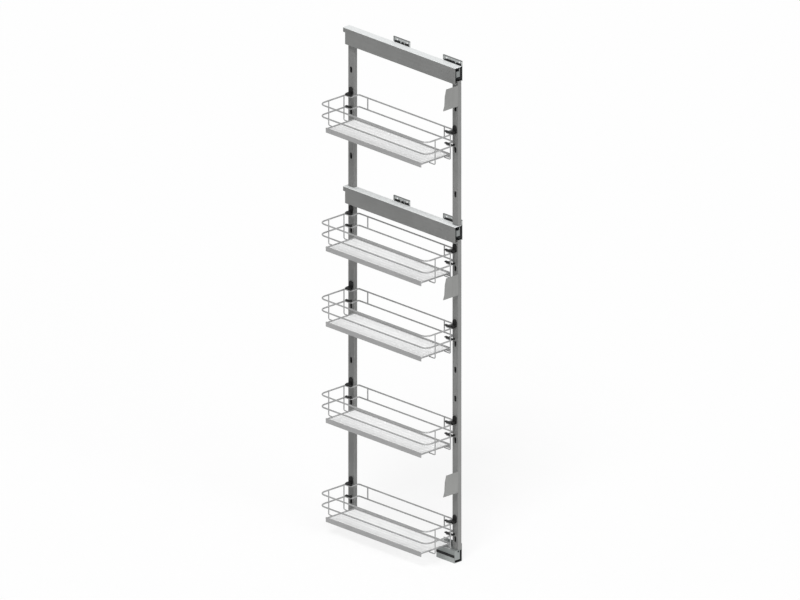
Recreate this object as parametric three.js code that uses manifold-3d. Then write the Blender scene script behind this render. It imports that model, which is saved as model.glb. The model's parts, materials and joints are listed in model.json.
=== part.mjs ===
// A tall pull-out larder unit: a steel frame on two telescopic slides, five wire baskets, three plates
// for the door front and a roller guide at the foot. All lengths are millimetres.
// Working axes: X runs forwards from the rear end of the beams, Y from the beams' open-side face to the
// cabinet wall, Z upwards from the top of the upper beam. The last lines move the origin to the wall.
import * as THREE from 'three';
import * as BufferGeometryUtils from 'three/addons/utils/BufferGeometryUtils.js';
import Module from 'manifold-3d';

const wasm = await Module();
wasm.setup();

// ---------------------------------------------------------------- driving dimensions

const fit = 0.3; // gap between pieces that rest on each other
const runningGap = 0.5; // gap between pieces that slide past each other
const overrun = 1; // how far cutting tools reach past the faces they cut
const weldBite = 1; // how far joined solids reach into each other

const beamLength = 500;
const beamHeight = 55;
const beamDepth = 28;
const beamSheet = 1.5;
const beamTailLength = 9; // the beam's upper part runs on past its rear end
const beamTailHeight = 16;
const lowerBeamDrop = 536; // top of the lower beam below the top of the upper beam
const wallSpace = 5; // from the beams' back edges to the cabinet wall

const uprightWidth = 25;
const uprightDepth = 15;
const uprightWall = 1.5;
const frameHeight = 1627; // top of the upper beam to the feet of the uprights
const uprightInsets = { rear: 1.5, front: 0 }; // from the beams' ends

const slotWidth = 10;
const slotHeight = 21;
const slotEdge = 4; // least steel between a slot and the end of an upright
const spareSlotDrops = [141, 431, 1023, 1120]; // free basket positions, below the top of the frame

const slideHeight = 45;
const slideSheet = 1.5;
const wallMemberDepth = 12;
const middleMemberDepth = 12;
const frameMemberGrip = 9; // how far the frame member reaches into the middle member
const returnLip = 2.2;
const ballDiameter = 3;
const ballPlay = 0.1;
const cageSheet = 1;
const cageLength = 260;
const cageStart = 118;
const ballsPerRow = 4;
const memberEndInset = 3;

const bracketSheet = 1.5;
const bracketRise = 17; // above the beam
const bracketHang = 50; // below the top of the beam
const frontBracketLength = 85;
const middleBracketLength = 73;
const middleBracketStart = 190;
const bracketHoleDiameter = 5.5;
const bracketHoleInset = 14;

const wireDiameter = 5;
const lowestRingRise = 91.5; // the lowest basket's upper ring above the frame's feet
// Upper basket rings below the top of the frame.
const ringDrops = [222.5, 622.5, 876.5, 1201.5, frameHeight - lowestRingRise];
const ringInset = 8.25; // ring ends in from the beams' ends
const ringNear = 119.5; // ring's open side in front of the beams' face
const ringFar = 26.5; // ring's wall side behind the beams' face
const ringGap = 40; // lower ring below the upper ring
const nearCornerRadius = 22;
const farCornerRadius = 5;
const bendGrain = 5.5; // a bend takes one straight step for each such length of its radius
const leastBendSteps = 2;
const notchInner = 35; // notch for the upright: its inner side from the beam's end
const notchFront = 7; // notch: its front side in front of the beams' face
const endPostNear = 79;
const endPostFar = 12.4;
const farTieInset = 76;

const trayInset = 34;
const trayNear = 117;
const trayFar = 10.5;
const trayBarSheet = 3;
const trayBarHeight = 16;
const trayBarDrop = 74; // top of the tray bars below the upper ring
const trayEndInset = 0.5; // end wires in from the bars' ends
const endWireDrop = 78.5; // end wires below the upper ring
const crossWireInsets = [110, 250, 390];
const shelfSheet = 3;
const shelfDrop = 79.5; // top of the shelf below the upper ring
const shelfRibs = 7;
const shelfRibHeight = 0.8;
const shelfRibWidth = 3;

const hookPlateWidth = 16.5;
const hookPlateSheet = 3.6;
const hookPlateDrop = 3; // below the wire that it carries
const hookPlateRise = 24; // above that wire
const hookPlateShift = 1; // the plate's middle lies nearer the basket's middle than the slot
const hookShoulderRadius = 7.8;
const hookToeRadius = 5;
const hookClipCrown = 3.8; // clip's thickness above the wire
const hookClipCheek = 1.4; // clip's thickness before and behind the wire
const hookClipStart = 11; // clip's outer end from the beam's end
const hookNeckStart = 8;
const upperNeckWidth = 12;
const lowerNeckStart = 13;
const lowerNeckWidth = 6;
const lowerNeckDrop = 4.3; // lower hook's neck: its underside and its top from the wire's middle
const lowerNeckRise = 0.5;
const tongueRise = 5; // height of the tongue that passes the slot
const noseDrop = 6; // the nose behind the slot hangs below the tongue
const noseSheet = 2.5;
const slotAboveRing = 11;
const slotBelowRing = 58.5;

const doorPlateDrops = [60, 697, 1362];
const doorPlateHeight = 70;
const doorPlateSheet = 2;
const doorPlateFlange = 8; // the plate's fold, back along the upright's open side
// The plate's outer edge, from top to bottom: its reach before the beams' face and its drop down the plate.
const doorPlateEdge = [[39.5, 0], [45.5, 22], [47.5, 54], [53, doorPlateHeight]];

const guideLength = 85;
const guideSheet = 1.5;
const guideWallHeight = 60;
const guideFrontHeight = 17.5;
const guideClearance = 43; // guide floor below the frame's feet
const linerSheet = 2;
const linerBackSheet = 4.5;
const linerBackGap = 1; // between the liner's back and the rear end cap, which passes over it
const linerCapHeight = 8.5;
const linerCapReach = 1.2;
const rollerDiameter = 22;
const rollerHeight = 11;
const rollerPlay = 0.4;
const rollerSetback = 63; // roller axis behind the beams' front ends
const rollerDrop = 14; // gap between the foot plate and the roller
const pinDiameter = 6;
const pinHeadDiameter = 11;
const pinHeadHeight = 2;
const footPlateSheet = 2;
const footPlateLength = 84;
const footFlangeDrop = 32; // front flange, hanging before the guide
const footFlangeReach = 1;
const footFlangeWidth = 22;
const footSideDrop = 16; // flange along the open side, running above the liner
const capHeight = 4;

// ---------------------------------------------------------------- derived places

const wallPlane = beamDepth + wallSpace;
const uprightFront = beamDepth - uprightDepth;
const frontEnd = beamLength;
const slideMiddle = beamSheet + runningGap + slideHeight / 2;
const bracketFace = wallPlane - bracketSheet;
const wireRadius = wireDiameter / 2;
const guideFloor = -(frameHeight + guideClearance);
const beamTops = { upper: 0, lower: -lowerBeamDrop };

// A place measured inwards from the rear or the front end of the frame.
const fromEnd = (end, inset) => (end === 'rear' ? inset : beamLength - inset);
const span = (end, from, to) => {
  const ends = [fromEnd(end, from), fromEnd(end, to)];
  return [Math.min(...ends), Math.max(...ends)];
};

const uprightSpan = (end) => span(end, uprightInsets[end], uprightInsets[end] + uprightWidth);
const slotMiddle = (end) => fromEnd(end, uprightInsets[end] + uprightWidth / 2);

// ---------------------------------------------------------------- materials

const finish = (color, roughness, metalness) => () =>
  new THREE.MeshStandardMaterial({ color, roughness, metalness });
const greySteel = finish(0x8a8c8a, 0.55, 0.4);
const plateSteel = finish(0x96988f, 0.5, 0.4);
const zincSteel = finish(0xb4b9b8, 0.35, 0.8);
const blackSteel = finish(0x1d1f20, 0.4, 0.5);
const chromeWire = finish(0xc4c5c5, 0.25, 0.8);
const whiteBoard = finish(0xeeeeec, 0.5, 0);
const blackPlastic = finish(0x141414, 0.5, 0);
const greyPlastic = finish(0x7d8080, 0.5, 0);

// ---------------------------------------------------------------- solids

function solidOf(geometry) {
  const plain = geometry.clone();
  plain.deleteAttribute('normal');
  plain.deleteAttribute('uv');
  const merged = BufferGeometryUtils.mergeVertices(plain, 1e-4);
  const vertProperties = new Float32Array(merged.attributes.position.array);
  const triVerts = new Uint32Array(merged.index.array);
  return new wasm.Manifold(new wasm.Mesh({ numProp: 3, vertProperties, triVerts }));
}

function geometryOf(solid) {
  const { vertProperties, triVerts } = solid.getMesh();
  const geometry = new THREE.BufferGeometry();
  geometry.setAttribute('position', new THREE.BufferAttribute(vertProperties, 3));
  geometry.setIndex(new THREE.BufferAttribute(triVerts, 1));
  geometry.computeVertexNormals();
  return geometry;
}

const join = (solids) => solids.reduce((whole, solid) => whole.add(solid));
const cut = (solid, tools) => tools.reduce((whole, tool) => whole.subtract(tool), solid);

function box([x0, x1], [y0, y1], [z0, z1]) {
  const geometry = new THREE.BoxGeometry(x1 - x0, y1 - y0, z1 - z0);
  geometry.translate((x0 + x1) / 2, (y0 + y1) / 2, (z0 + z1) / 2);
  return solidOf(geometry);
}

function outline(points) {
  return new THREE.Shape(points.map(([u, v]) => new THREE.Vector2(u, v)));
}

// A section drawn in Y and Z, drawn out along X.
function alongX(shape, [x0, x1], curveSegments = 4) {
  const geometry = new THREE.ExtrudeGeometry(shape, { depth: x1 - x0, bevelEnabled: false, curveSegments });
  const axes = [new THREE.Vector3(0, 1, 0), new THREE.Vector3(0, 0, 1), new THREE.Vector3(1, 0, 0)];
  geometry.applyMatrix4(new THREE.Matrix4().makeBasis(...axes));
  geometry.translate(x0, 0, 0);
  return solidOf(geometry);
}

// An outline drawn in X and Z, drawn out along Y.
function alongY(shape, [y0, y1], curveSegments = 4) {
  const geometry = new THREE.ExtrudeGeometry(shape, { depth: y1 - y0, bevelEnabled: false, curveSegments });
  geometry.rotateX(Math.PI / 2);
  geometry.translate(0, y1, 0);
  return solidOf(geometry);
}

function uprightCylinder(diameter, [x, y], [z0, z1], sides = 16) {
  const geometry = new THREE.CylinderGeometry(diameter / 2, diameter / 2, z1 - z0, sides);
  geometry.rotateX(Math.PI / 2);
  geometry.translate(x, y, (z0 + z1) / 2);
  return solidOf(geometry);
}

function crossCylinder(diameter, [x, z], [y0, y1], sides = 12) {
  const geometry = new THREE.CylinderGeometry(diameter / 2, diameter / 2, y1 - y0, sides);
  geometry.translate(x, (y0 + y1) / 2, z);
  return solidOf(geometry);
}

// A path through listed points; each step of a sweep along it ends on one of the points.
class PointPath extends THREE.Curve {
  constructor(points) {
    super();
    this.points = points;
  }

  getPoint(t, target = new THREE.Vector3()) {
    const place = t * (this.points.length - 1);
    const index = Math.min(Math.floor(place), this.points.length - 2);
    return target.lerpVectors(this.points[index], this.points[index + 1], place - index);
  }

  getPointAt(u, target) {
    return this.getPoint(u, target);
  }

  getTangentAt(u, target = new THREE.Vector3()) {
    const last = this.points.length - 1;
    const index = Math.round(u * last);
    const here = this.points[index];
    const before = here.clone().sub(this.points[Math.max(index - 1, 0)]).normalize();
    const after = this.points[Math.min(index + 1, last)].clone().sub(here).normalize();
    return target.copy(before).add(after).normalize();
  }
}

// Replaces the inner points of a polyline by arcs; each point is a Vector3 with its own bend radius.
function bendCorners(corners) {
  const points = [corners[0].at];
  corners.slice(1, -1).forEach((corner, index) => {
    const toBefore = corners[index].at.clone().sub(corner.at).normalize();
    const toAfter = corners[index + 2].at.clone().sub(corner.at).normalize();
    const halfAngle = toBefore.angleTo(toAfter) / 2;
    const tangentLength = corner.radius / Math.tan(halfAngle);
    const bisector = toBefore.clone().add(toAfter).normalize();
    const centre = corner.at.clone().addScaledVector(bisector, corner.radius / Math.sin(halfAngle));
    const start = corner.at.clone().addScaledVector(toBefore, tangentLength).sub(centre);
    const end = corner.at.clone().addScaledVector(toAfter, tangentLength).sub(centre);
    const sweep = start.angleTo(end);
    const turnAxis = start.clone().cross(end).normalize();
    const steps = Math.max(leastBendSteps, Math.round(corner.radius / bendGrain));
    for (let step = 0; step <= steps; step += 1) {
      const spoke = start.clone().applyAxisAngle(turnAxis, (sweep * step) / steps);
      points.push(centre.clone().add(spoke));
    }
  });
  points.push(corners.at(-1).at);
  return points;
}

const corner = (x, y, z, radius = 0) => ({ at: new THREE.Vector3(x, y, z), radius });

function wire(corners, sides = 6) {
  const section = new THREE.Shape();
  for (let side = 0; side < sides; side += 1) {
    const angle = (2 * Math.PI * (side + 0.5)) / sides;
    const point = [wireRadius * Math.cos(angle), wireRadius * Math.sin(angle)];
    section[side === 0 ? 'moveTo' : 'lineTo'](...point);
  }
  section.closePath();
  const points = bendCorners(corners);
  const extrudePath = new PointPath(points);
  return solidOf(new THREE.ExtrudeGeometry(section, { steps: points.length - 1, extrudePath }));
}

// ---------------------------------------------------------------- frame

function makeBeam(top) {
  const bottom = top - beamHeight;
  const section = outline([
    [0, bottom], [beamDepth, bottom], [beamDepth, bottom + beamSheet], [beamSheet, bottom + beamSheet],
    [beamSheet, top - beamSheet], [beamDepth, top - beamSheet], [beamDepth, top], [0, top],
  ]);
  const tail = outline([
    [0, top - beamTailHeight], [beamSheet, top - beamTailHeight], [beamSheet, top - beamSheet],
    [beamDepth, top - beamSheet], [beamDepth, top], [0, top],
  ]);
  return alongX(section, [0, beamLength]).add(alongX(tail, [-beamTailLength, weldBite]));
}

// The slots of one upright lie at the baskets' hooks, below them, and at the free positions.
const slotHeights = [
  ...ringDrops.flatMap((drop) => [slotAboveRing - drop, -slotBelowRing - drop]),
  ...spareSlotDrops.map((drop) => -drop),
];

const slotReach = slotHeight / 2 + slotEdge;

function slotOutline(centreX, centreZ, width, height) {
  const radius = width / 2;
  const rise = height / 2 - radius;
  const shape = new THREE.Shape();
  shape.moveTo(centreX + radius, centreZ - rise);
  shape.lineTo(centreX + radius, centreZ + rise);
  shape.absarc(centreX, centreZ + rise, radius, 0, Math.PI, false);
  shape.lineTo(centreX - radius, centreZ - rise);
  shape.absarc(centreX, centreZ - rise, radius, Math.PI, 2 * Math.PI, false);
  return shape;
}

function makeUpright(end, top, bottom) {
  const [x0, x1] = uprightSpan(end);
  const outer = box([x0, x1], [uprightFront, beamDepth], [bottom, top]);
  const hollow = box(
    [x0 + uprightWall, x1 - uprightWall],
    [uprightFront + uprightWall, beamDepth - uprightWall],
    [bottom - overrun, top + overrun],
  );
  const wallRange = [uprightFront - overrun, uprightFront + uprightWall + overrun];
  const slots = slotHeights
    .filter((height) => height + slotReach < top && height - slotReach > bottom)
    .map((height) => alongY(slotOutline(slotMiddle(end), height, slotWidth, slotHeight), wallRange, 3));
  return cut(outer, [hollow, ...slots]);
}

function makeDoorPlate(drop) {
  const bottom = -drop - doorPlateHeight;
  const outerEdge = doorPlateEdge.map(([reach, down]) => [-reach, -drop - down]);
  const inner = uprightFront - fit;
  const section = outline([[inner, bottom], [inner, -drop], ...outerEdge]);
  const face = frontEnd + fit;
  const plate = alongX(section, [face, face + doorPlateSheet]);
  const reach = [frontEnd - doorPlateFlange, face + doorPlateSheet];
  const flange = box(reach, [inner - doorPlateSheet, inner], [bottom, -drop]);
  return plate.add(flange);
}

// ---------------------------------------------------------------- telescopic slides

// Half heights and webs of the nested members, from the wall to the beam.
const wallWebBack = bracketFace - fit;
const wallHalf = slideHeight / 2;
const raceGap = ballDiameter + 2 * ballPlay;
const middleHalf = wallHalf - slideSheet - raceGap;
const frameHalf = middleHalf - slideSheet - raceGap;
const webGap = 2 * runningGap + cageSheet;
const middleWebBack = wallWebBack - slideSheet - webGap;
const frameLipEnd = middleWebBack - slideSheet - webGap;
const frameWebFront = beamSheet + fit;
const middleLipEnd = middleWebBack - middleMemberDepth;

// A channel section open towards the beam, with small lips turned in that keep the balls.
function channelTowardsBeam(back, depth, half, middle, lip) {
  const inner = half - slideSheet;
  const front = back - depth;
  return outline([
    [back, middle - half], [back, middle + half], [front, middle + half],
    [front, middle + inner - lip], [front + slideSheet, middle + inner - lip],
    [front + slideSheet, middle + inner], [back - slideSheet, middle + inner],
    [back - slideSheet, middle - inner], [front + slideSheet, middle - inner],
    [front + slideSheet, middle - inner + lip], [front, middle - inner + lip], [front, middle - half],
  ].reverse());
}

function makeWallMember(top) {
  const middle = top - slideMiddle;
  const section = channelTowardsBeam(wallWebBack, wallMemberDepth, wallHalf, middle, returnLip);
  return alongX(section, [0, beamLength - fit]);
}

function makeMiddleMember(top) {
  const middle = top - slideMiddle;
  const inner = middleHalf - slideSheet;
  const section = outline([
    [middleLipEnd, middle - middleHalf], [middleWebBack, middle - middleHalf],
    [middleWebBack, middle + middleHalf], [middleLipEnd, middle + middleHalf],
    [middleLipEnd, middle + inner], [middleWebBack - slideSheet, middle + inner],
    [middleWebBack - slideSheet, middle - inner], [middleLipEnd, middle - inner],
  ]);
  return alongX(section, [memberEndInset, beamLength - memberEndInset]);
}

function makeFrameMember(top) {
  const middle = top - slideMiddle;
  const inner = frameHalf - slideSheet;
  const section = outline([
    [frameWebFront, middle - frameHalf], [frameLipEnd, middle - frameHalf], [frameLipEnd, middle - inner],
    [frameWebFront + slideSheet, middle - inner], [frameWebFront + slideSheet, middle + inner],
    [frameLipEnd, middle + inner], [frameLipEnd, middle + frameHalf], [frameWebFront, middle + frameHalf],
  ]);
  return alongX(section, [0, beamLength - fit]);
}

// A ball cage: a thin channel between two members, with a row of balls in each of its sides.
function makeCage(top, webBack, sideHalf, ballLine, sideEnd) {
  const middle = top - slideMiddle;
  const half = sideHalf + cageSheet / 2;
  const inner = sideHalf - cageSheet / 2;
  const webFront = webBack - cageSheet;
  const section = outline([
    [sideEnd, middle - half], [webBack, middle - half], [webBack, middle + half], [sideEnd, middle + half],
    [sideEnd, middle + inner], [webFront, middle + inner], [webFront, middle - inner],
    [sideEnd, middle - inner],
  ]);
  const solids = [alongX(section, [cageStart, cageStart + cageLength])];
  const pitch = cageLength / ballsPerRow;
  for (let ball = 0; ball < ballsPerRow; ball += 1) {
    for (const side of [-1, 1]) {
      const geometry = new THREE.OctahedronGeometry(ballDiameter / 2, 1);
      geometry.translate(cageStart + pitch * (ball + 0.5), ballLine, middle + side * sideHalf);
      solids.push(solidOf(geometry));
    }
  }
  return join(solids);
}

function makeOuterCage(top) {
  const lipInner = wallWebBack - wallMemberDepth + slideSheet;
  const webBack = wallWebBack - slideSheet - runningGap;
  const ballLine = (wallWebBack - slideSheet + lipInner) / 2;
  return makeCage(top, webBack, wallHalf - slideSheet - raceGap / 2, ballLine, lipInner + runningGap);
}

function makeInnerCage(top) {
  const webBack = middleWebBack - slideSheet - runningGap;
  const ballLine = frameLipEnd - frameMemberGrip / 2;
  const sideEnd = frameLipEnd - frameMemberGrip;
  return makeCage(top, webBack, middleHalf - slideSheet - raceGap / 2, ballLine, sideEnd);
}

// ---------------------------------------------------------------- wall brackets

// A plate on the wall behind the slide, with its rim turned towards the beam above it.
function makeWallBracket(top, [x0, x1]) {
  const bottom = top - bracketHang;
  const crown = top + bracketRise;
  const rimFront = beamDepth + runningGap;
  const plate = box([x0, x1], [bracketFace, wallPlane], [bottom, crown]);
  const rim = [
    box([x0, x1], [rimFront, bracketFace + fit], [crown - bracketSheet, crown]),
    box([x0, x0 + bracketSheet], [rimFront, bracketFace + fit], [top + fit, crown]),
    box([x1 - bracketSheet, x1], [rimFront, bracketFace + fit], [top + fit, crown]),
  ];
  const holeHeight = top + bracketRise / 2;
  const holes = [x0 + bracketHoleInset, x1 - bracketHoleInset].map((x) =>
    crossCylinder(bracketHoleDiameter, [x, holeHeight], [bracketFace - overrun, wallPlane + overrun]));
  return cut(join([plate, ...rim]), holes);
}

// ---------------------------------------------------------------- baskets

// Half of a ring: from the middle of its open side round one end to the middle of its wall side.
function halfRing(end, z) {
  const middle = beamLength / 2;
  const overlap = end === 'rear' ? wireRadius : -wireRadius;
  return wire([
    corner(middle + overlap, -ringNear, z),
    corner(fromEnd(end, ringInset), -ringNear, z, nearCornerRadius),
    corner(fromEnd(end, ringInset), -notchFront, z, farCornerRadius),
    corner(fromEnd(end, notchInner), -notchFront, z, farCornerRadius),
    corner(fromEnd(end, notchInner), ringFar, z, farCornerRadius),
    corner(middle + overlap, ringFar, z),
  ]);
}

// A post at a basket's end: from the upper ring down and in under the tray's end wire.
function endPost(end, y, ring, foot) {
  const x = fromEnd(end, ringInset);
  return wire([
    corner(x, y, ring),
    corner(x, y, foot, farCornerRadius),
    corner(fromEnd(end, trayInset + trayEndInset), y, foot),
  ]);
}

function makeBasketFrame(ring) {
  const lowerRing = ring - ringGap;
  const barTop = ring - trayBarDrop;
  const barRange = [barTop - trayBarHeight, barTop];
  const endWireHeight = ring - endWireDrop;
  const foot = endWireHeight - wireDiameter + weldBite;
  const crossWireHeight = ring - shelfDrop - shelfSheet - fit - wireRadius;
  const barLength = [trayInset, beamLength - trayInset];
  const nearBar = [-trayNear, -trayNear + trayBarSheet];
  const farBar = [trayFar - trayBarSheet, trayFar];
  const acrossTray = (x, z) => wire([
    corner(x, -trayNear + trayBarSheet / 2, z),
    corner(x, trayFar - trayBarSheet / 2, z),
  ]);
  const solids = [box(barLength, nearBar, barRange), box(barLength, farBar, barRange)];
  for (const end of ['rear', 'front']) {
    const tieX = fromEnd(end, farTieInset);
    solids.push(halfRing(end, ring), halfRing(end, lowerRing));
    solids.push(wire([corner(tieX, ringFar, ring), corner(tieX, ringFar, lowerRing)]));
    solids.push(endPost(end, -endPostNear, ring, foot), endPost(end, -endPostFar, ring, foot));
    solids.push(acrossTray(fromEnd(end, trayInset + trayEndInset), endWireHeight));
  }
  crossWireInsets.forEach((x) => solids.push(acrossTray(x, crossWireHeight)));
  return join(solids);
}

// The loose shelf board lies on the cross wires, with low ribs along its top.
function makeShelf(ring) {
  const top = ring - shelfDrop;
  const near = -trayNear + trayBarSheet + fit;
  const far = trayFar - trayBarSheet - fit;
  const pitch = (far - near) / shelfRibs;
  const points = [[near, top - shelfSheet], [far, top - shelfSheet], [far, top]];
  for (let rib = shelfRibs - 1; rib >= 0; rib -= 1) {
    const centre = near + pitch * (rib + 0.5);
    const ribTop = top + shelfRibHeight;
    points.push([centre + shelfRibWidth / 2, top], [centre + shelfRibWidth / 4, ribTop]);
    points.push([centre - shelfRibWidth / 4, ribTop], [centre - shelfRibWidth / 2, top]);
  }
  points.push([near, top]);
  const inset = trayInset + trayEndInset + wireRadius + fit;
  return alongX(outline(points), [inset, beamLength - inset]);
}

// ---------------------------------------------------------------- hooks

// The clip that sits on a ring's short run: a crown along its top and a cheek behind it.
function clip(end, wireHeight) {
  const seat = wireRadius + fit;
  const crown = [wireHeight + seat, wireHeight + seat + hookClipCrown];
  const side = seat + hookClipCheek;
  const crownY = [-notchFront - side, -notchFront + side];
  const cheekY = [-notchFront + seat, crownY[1]];
  const straightEnd = notchInner - farCornerRadius - fit;
  return [
    box(span(end, hookClipStart, notchInner + wireRadius), crownY, crown),
    box(span(end, hookClipStart, straightEnd), cheekY, [wireHeight - seat, crown[1]]),
  ];
}

// A basket's upper hook: its clip, a neck, a plate on the upright's face and a tongue in the slot. The
// tongue rests where the slot's straight sides begin, and its nose hangs down behind the upright's wall.
function makeUpperHook(end, ring) {
  const back = uprightFront - fit;
  const centre = slotMiddle(end) + (end === 'rear' ? hookPlateShift : -hookPlateShift);
  const x0 = centre - hookPlateWidth / 2;
  const x1 = centre + hookPlateWidth / 2;
  const bottom = ring - hookPlateDrop;
  const top = ring + hookPlateRise;
  const shoulder = hookShoulderRadius;
  const toe = hookToeRadius;
  const face = new THREE.Shape();
  face.moveTo(x0 + toe, bottom);
  face.lineTo(x1 - toe, bottom);
  face.absarc(x1 - toe, bottom + toe, toe, -Math.PI / 2, 0, false);
  face.absarc(x1 - shoulder, top - shoulder, shoulder, 0, Math.PI / 2, false);
  face.absarc(x0 + shoulder, top - shoulder, shoulder, Math.PI / 2, Math.PI, false);
  face.absarc(x0 + toe, bottom + toe, toe, Math.PI, 1.5 * Math.PI, false);
  const neckHeights = [ring - wireRadius - fit, ring + wireRadius + fit + hookClipCrown];
  const slotX = slotMiddle(end);
  const tongueX = [slotX - slotWidth / 2 + runningGap, slotX + slotWidth / 2 - runningGap];
  const tongueBottom = ring + slotAboveRing - (slotHeight - slotWidth) / 2 + fit;
  const tongueTop = tongueBottom + tongueRise;
  const behindWall = uprightFront + uprightWall + fit;
  const noseY = [behindWall, behindWall + noseSheet];
  return join([
    alongY(face, [back - hookPlateSheet, back]),
    box(span(end, hookNeckStart, hookNeckStart + upperNeckWidth),
      [-notchFront + wireRadius + fit, back - hookPlateSheet + weldBite], neckHeights),
    box(tongueX, [back - hookPlateSheet + weldBite, noseY[1]], [tongueBottom, tongueTop]),
    box(tongueX, noseY, [tongueBottom - noseDrop, tongueTop]),
    ...clip(end, ring),
  ]);
}

// A basket's lower hook: the same clip, with a slim neck that stands off the upright's face.
function makeLowerHook(end, ring) {
  const wireHeight = ring - ringGap;
  const neck = box(
    span(end, lowerNeckStart, lowerNeckStart + lowerNeckWidth),
    [-notchFront + wireRadius + fit, uprightFront - fit],
    [wireHeight - lowerNeckDrop, wireHeight + lowerNeckRise],
  );
  return join([neck, ...clip(end, wireHeight)]);
}

// ---------------------------------------------------------------- foot and guide

const footPlateTop = -frameHeight - fit;
const footPlateBottom = footPlateTop - footPlateSheet;
const endCapBottom = footPlateTop - capHeight;
const rollerX = frontEnd - rollerSetback;
const linerFace = guideSheet + fit + linerSheet;
const rollerY = linerFace + rollerPlay + rollerDiameter / 2;
const linerBackFront = rollerY + rollerDiameter / 2 + rollerPlay;
const rollerTop = footPlateBottom - rollerDrop;
const rollerBottom = rollerTop - rollerHeight;
const guideX = [frontEnd - guideLength, frontEnd - footPlateSheet - runningGap];
const guideTop = guideFloor + guideWallHeight;

// The guide's steel channel on the cabinet wall: tall at the wall, low in front.
function makeGuideChannel() {
  const frontTop = guideFloor + guideFrontHeight;
  const section = outline([
    [0, guideFloor], [wallPlane, guideFloor], [wallPlane, guideTop], [wallPlane - guideSheet, guideTop],
    [wallPlane - guideSheet, guideFloor + guideSheet], [guideSheet, guideFloor + guideSheet],
    [guideSheet, frontTop], [0, frontTop],
  ]);
  return alongX(section, guideX);
}

// The black liner that the roller runs in, hooked over the channel's front edge.
function makeGuideLiner() {
  const frontTop = guideFloor + guideFrontHeight;
  const floor = guideFloor + guideSheet + fit;
  const back = wallPlane - guideSheet - fit;
  const backFront = Math.min(linerBackFront, back - linerBackSheet);
  const backTop = endCapBottom - linerBackGap;
  const section = outline([
    [guideSheet + fit, floor], [back, floor], [back, backTop], [backFront, backTop],
    [backFront, floor + linerSheet], [linerFace, floor + linerSheet],
    [linerFace, frontTop + linerCapHeight], [-linerCapReach, frontTop + linerCapHeight],
    [-linerCapReach, frontTop + fit], [guideSheet + fit, frontTop + fit],
  ]);
  return alongX(section, guideX);
}

function makeRoller() {
  const ring = uprightCylinder(rollerDiameter, [rollerX, rollerY], [rollerBottom, rollerTop], 24);
  const boreRange = [rollerBottom - overrun, rollerTop + overrun];
  return ring.subtract(uprightCylinder(pinDiameter + 2 * fit, [rollerX, rollerY], boreRange, 16));
}

function makeRollerPin() {
  const at = [rollerX, rollerY];
  const headRange = [rollerBottom - fit - pinHeadHeight, rollerBottom - fit];
  const shoulder = [rollerTop + fit, footPlateBottom - fit];
  const shankRange = [headRange[0] + weldBite, footPlateTop + pinHeadHeight];
  const shank = uprightCylinder(pinDiameter, at, shankRange, 16);
  const head = uprightCylinder(pinHeadDiameter, at, headRange, 16);
  return join([shank, head, uprightCylinder(pinHeadDiameter, at, shoulder, 16)]);
}

// The plate under the front upright carries the roller; its front edge turns down before the guide.
function makeFootPlate() {
  const plate = box(
    [frontEnd - footPlateLength, frontEnd],
    [0, beamDepth],
    [footPlateBottom, footPlateTop],
  );
  const flange = box(
    [frontEnd - footPlateSheet, frontEnd],
    [-footFlangeReach, footFlangeWidth - footFlangeReach],
    [footPlateTop - footFlangeDrop, footPlateTop],
  );
  const side = box(
    [frontEnd - footPlateLength, frontEnd],
    [0, footPlateSheet],
    [footPlateTop - footSideDrop, footPlateTop],
  );
  const holeRange = [footPlateBottom - overrun, footPlateTop + overrun];
  const hole = uprightCylinder(pinDiameter + 2 * fit, [rollerX, rollerY], holeRange, 16);
  return cut(join([plate, flange, side]), [hole]);
}

function makeEndCap() {
  const [x0, x1] = uprightSpan('rear');
  const plugInset = uprightWall + fit;
  const cap = box([x0, x1], [uprightFront, beamDepth], [endCapBottom, footPlateTop]);
  const plug = box(
    [x0 + plugInset, x1 - plugInset],
    [uprightFront + plugInset, beamDepth - plugInset],
    [footPlateTop - weldBite, footPlateTop + 2 * capHeight],
  );
  return cap.add(plug);
}

// ---------------------------------------------------------------- assembly

const unit = new THREE.Group();

function place(name, solid, material) {
  const mesh = new THREE.Mesh(geometryOf(solid), material());
  mesh.name = name;
  unit.add(mesh);
}

const frontBracket = [frontEnd - frontBracketLength, frontEnd];
const middleBracket = [middleBracketStart, middleBracketStart + middleBracketLength];

for (const [level, top] of Object.entries(beamTops)) {
  place(`${level}_beam`, makeBeam(top), greySteel);
  place(`${level}_slide_wall_member`, makeWallMember(top), blackSteel);
  place(`${level}_slide_middle_member`, makeMiddleMember(top), zincSteel);
  place(`${level}_slide_frame_member`, makeFrameMember(top), blackSteel);
  place(`${level}_slide_outer_ball_cage`, makeOuterCage(top), zincSteel);
  place(`${level}_slide_inner_ball_cage`, makeInnerCage(top), zincSteel);
  place(`${level}_front_wall_bracket`, makeWallBracket(top, frontBracket), zincSteel);
  place(`${level}_middle_wall_bracket`, makeWallBracket(top, middleBracket), zincSteel);
}

for (const end of ['rear', 'front']) {
  const upperRange = [beamTops.upper - beamHeight - fit, beamTops.lower + fit];
  const lowerRange = [beamTops.lower - beamHeight - fit, -frameHeight];
  place(`upper_${end}_upright`, makeUpright(end, ...upperRange), greySteel);
  place(`lower_${end}_upright`, makeUpright(end, ...lowerRange), greySteel);
}

doorPlateDrops.forEach((drop, index) => {
  place(`door_plate_${index + 1}`, makeDoorPlate(drop), plateSteel);
});

ringDrops.forEach((drop, index) => {
  const number = index + 1;
  place(`basket_${number}_frame`, makeBasketFrame(-drop), chromeWire);
  place(`basket_${number}_shelf`, makeShelf(-drop), whiteBoard);
  for (const end of ['rear', 'front']) {
    place(`basket_${number}_${end}_upper_hook`, makeUpperHook(end, -drop), blackPlastic);
    place(`basket_${number}_${end}_lower_hook`, makeLowerHook(end, -drop), blackPlastic);
  }
});

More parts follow.
